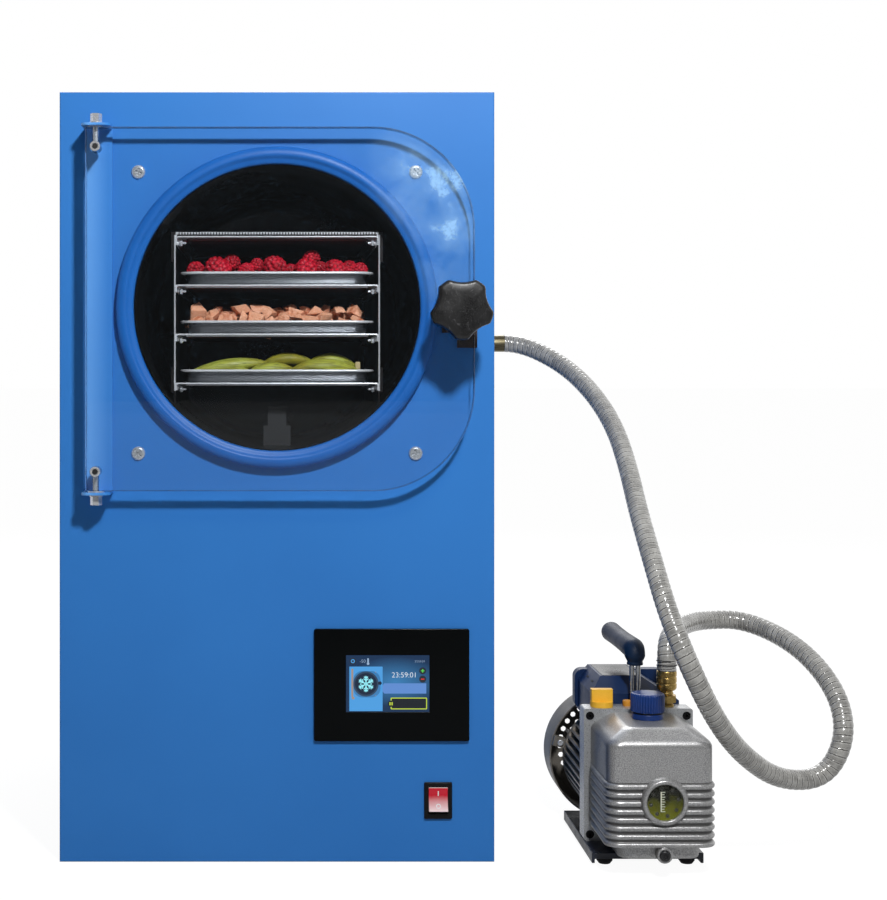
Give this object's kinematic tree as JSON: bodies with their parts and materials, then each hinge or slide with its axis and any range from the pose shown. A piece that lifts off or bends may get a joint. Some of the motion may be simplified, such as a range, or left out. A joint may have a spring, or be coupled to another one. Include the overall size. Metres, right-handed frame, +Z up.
{
  "type": "freeze dryer",
  "caption": "Tabletop freeze dryer: steel cabinet, round vacuum chamber behind a clear hinged door, food trays on heated shelves, and a vane pump joined by a reinforced hose.",
  "frame": {"origin": "floor under the middle of the cabinet", "axes": "+Z up, +X to the pump's side, front panel faces -Y"},
  "size_m": [0.798, 0.6133, 0.77],
  "materials": {
    "cabinet_paint": "satin powder coat",
    "chamber_steel": "dull",
    "copper_pipe": "drawn",
    "foam": "closed-cell",
    "gasket_blue": "moulded",
    "rack_steel": "brushed",
    "tray_steel": "brushed",
    "bright_steel": "polished",
    "berry_red": "rough",
    "fish_pink": "rough",
    "pod_green": "rough",
    "dark_plastic": "moulded",
    "clear_acrylic": "polished",
    "latch_brown": "satin",
    "knob_black": "textured",
    "display_black": "glossy",
    "board_green": "varnished",
    "switch_black": "moulded",
    "rocker_red": "glossy",
    "compressor_black": "satin",
    "bare_aluminium": "mill",
    "port_steel": "turned",
    "pump_dark": "satin",
    "black_rubber": "moulded",
    "cast_silver": "cast",
    "oil_glass": "polished",
    "cap_blue": "moulded",
    "plug_yellow": "moulded",
    "fitting_brass": "turned",
    "box_blue": "moulded",
    "cover_grey": "satin",
    "clear_hose": "smooth"
  },
  "bodies": {
    "cabinet": {"base_pan": "cabinet_paint", "cabinet_shell": "cabinet_paint", "front_panel": "cabinet_paint", "rear_cover": "cabinet_paint", "chamber": "chamber_steel", "evaporator_coil": "copper_pipe", "chamber_insulation": "foam", "door_gasket": "gasket_blue", "rack_sides": "rack_steel", "rack_top": "rack_steel", "shelf_upper": "rack_steel", "shelf_middle": "rack_steel", "shelf_lower": "rack_steel", "rack_screws": "bright_steel", "tray_upper": "tray_steel", "tray_middle": "tray_steel", "tray_lower": "tray_steel", "raspberries": "berry_red", "fish_chunks": "fish_pink", "green_pods": "pod_green", "temperature_sensor": "dark_plastic", "hinge_bracket": "bright_steel", "hinge_washers": "bright_steel", "panel_screws": "bright_steel", "latch_bracket": "latch_brown", "display_module": "display_black", "controller_board": "board_green", "switch_housing": "switch_black", "compressor": "compressor_black", "condenser_block": "bare_aluminium", "fan_shroud": "compressor_black", "power_supply": "bare_aluminium", "power_inlet": "switch_black", "vacuum_port": "port_steel", "pump_base": "pump_dark", "pump_feet": "black_rubber", "pump_flange": "cast_silver", "flange_screws": "knob_black", "oil_tank": "cast_silver", "sight_glass": "oil_glass", "drain_plug": "knob_black", "filler_neck": "cap_blue", "inlet_fitting": "fitting_brass", "motor_housing": "bare_aluminium", "fan_cover": "cover_grey", "terminal_box": "box_blue", "handle_rods": "bright_steel", "handle_grip": "box_blue", "vacuum_hose": "clear_hose"},
    "door": {"door_panel": "clear_acrylic", "hinge_bolts": "bright_steel"},
    "clamp_slide": {"clamp_washer": "bright_steel"},
    "clamp_knob": {"clamp_knob": "knob_black", "clamp_stud": "bright_steel"},
    "rocker": {"power_rocker": "rocker_red"},
    "condenser_fan": {"condenser_fan": "dark_plastic"},
    "cap_seal": {"oil_cap_seal": "black_rubber"},
    "oil_cap": {"oil_cap": "cap_blue"},
    "exhaust_plug": {"exhaust_plug": "plug_yellow"},
    "pump_rotor": {"motor_rotor": "rack_steel"}
  },
  "joints": [
    {"name": "door_swing", "type": "hinge", "parent": "cabinet", "child": "door", "pos_m": [-0.178, -0.2865, 0.5516], "axis": [0, 0, 1], "range_deg": [-165, 0]},
    {"name": "clamp_travel", "type": "slide", "parent": "door", "child": "clamp_slide", "axis": [0, 1, 0], "range_m": [0, 0.0075]},
    {"name": "clamp_turn", "type": "hinge", "parent": "clamp_slide", "child": "clamp_knob", "pos_m": [0.178, -0.31, 0.551], "axis": [0, 1, 0], "range_deg": [0, 1798]},
    {"name": "power_rocker", "type": "hinge", "parent": "cabinet", "child": "rocker", "pos_m": [0.161, -0.257, 0.0618], "axis": [1, 0, 0], "range_deg": [0, 22]},
    {"name": "condenser_fan", "type": "hinge", "parent": "cabinet", "child": "condenser_fan", "pos_m": [0.078, 0.16, 0.129], "axis": [0, 1, 0], "continuous": true},
    {"name": "oil_cap_lift", "type": "slide", "parent": "cabinet", "child": "cap_seal", "axis": [0, 0, 1], "range_m": [0, 0.0061]},
    {"name": "oil_cap_turn", "type": "hinge", "parent": "cap_seal", "child": "oil_cap", "pos_m": [0.3705, -0.26, 0.16], "axis": [0, 0, 1], "range_deg": [0, 720]},
    {"name": "exhaust_plug_pull", "type": "slide", "parent": "cabinet", "child": "exhaust_plug", "axis": [0, 0, 1], "range_m": [0, 0.02]},
    {"name": "pump_shaft", "type": "hinge", "parent": "cabinet", "child": "pump_rotor", "pos_m": [0.368, -0.15, 0.0704], "axis": [0, 1, 0], "continuous": true}
  ],
  "couplings": [
    {"joint": "clamp_travel", "follows": "clamp_turn", "m_per_rad": 0.00023873},
    {"joint": "oil_cap_lift", "follows": "oil_cap_turn", "m_per_rad": 0.00047746}
  ]
}
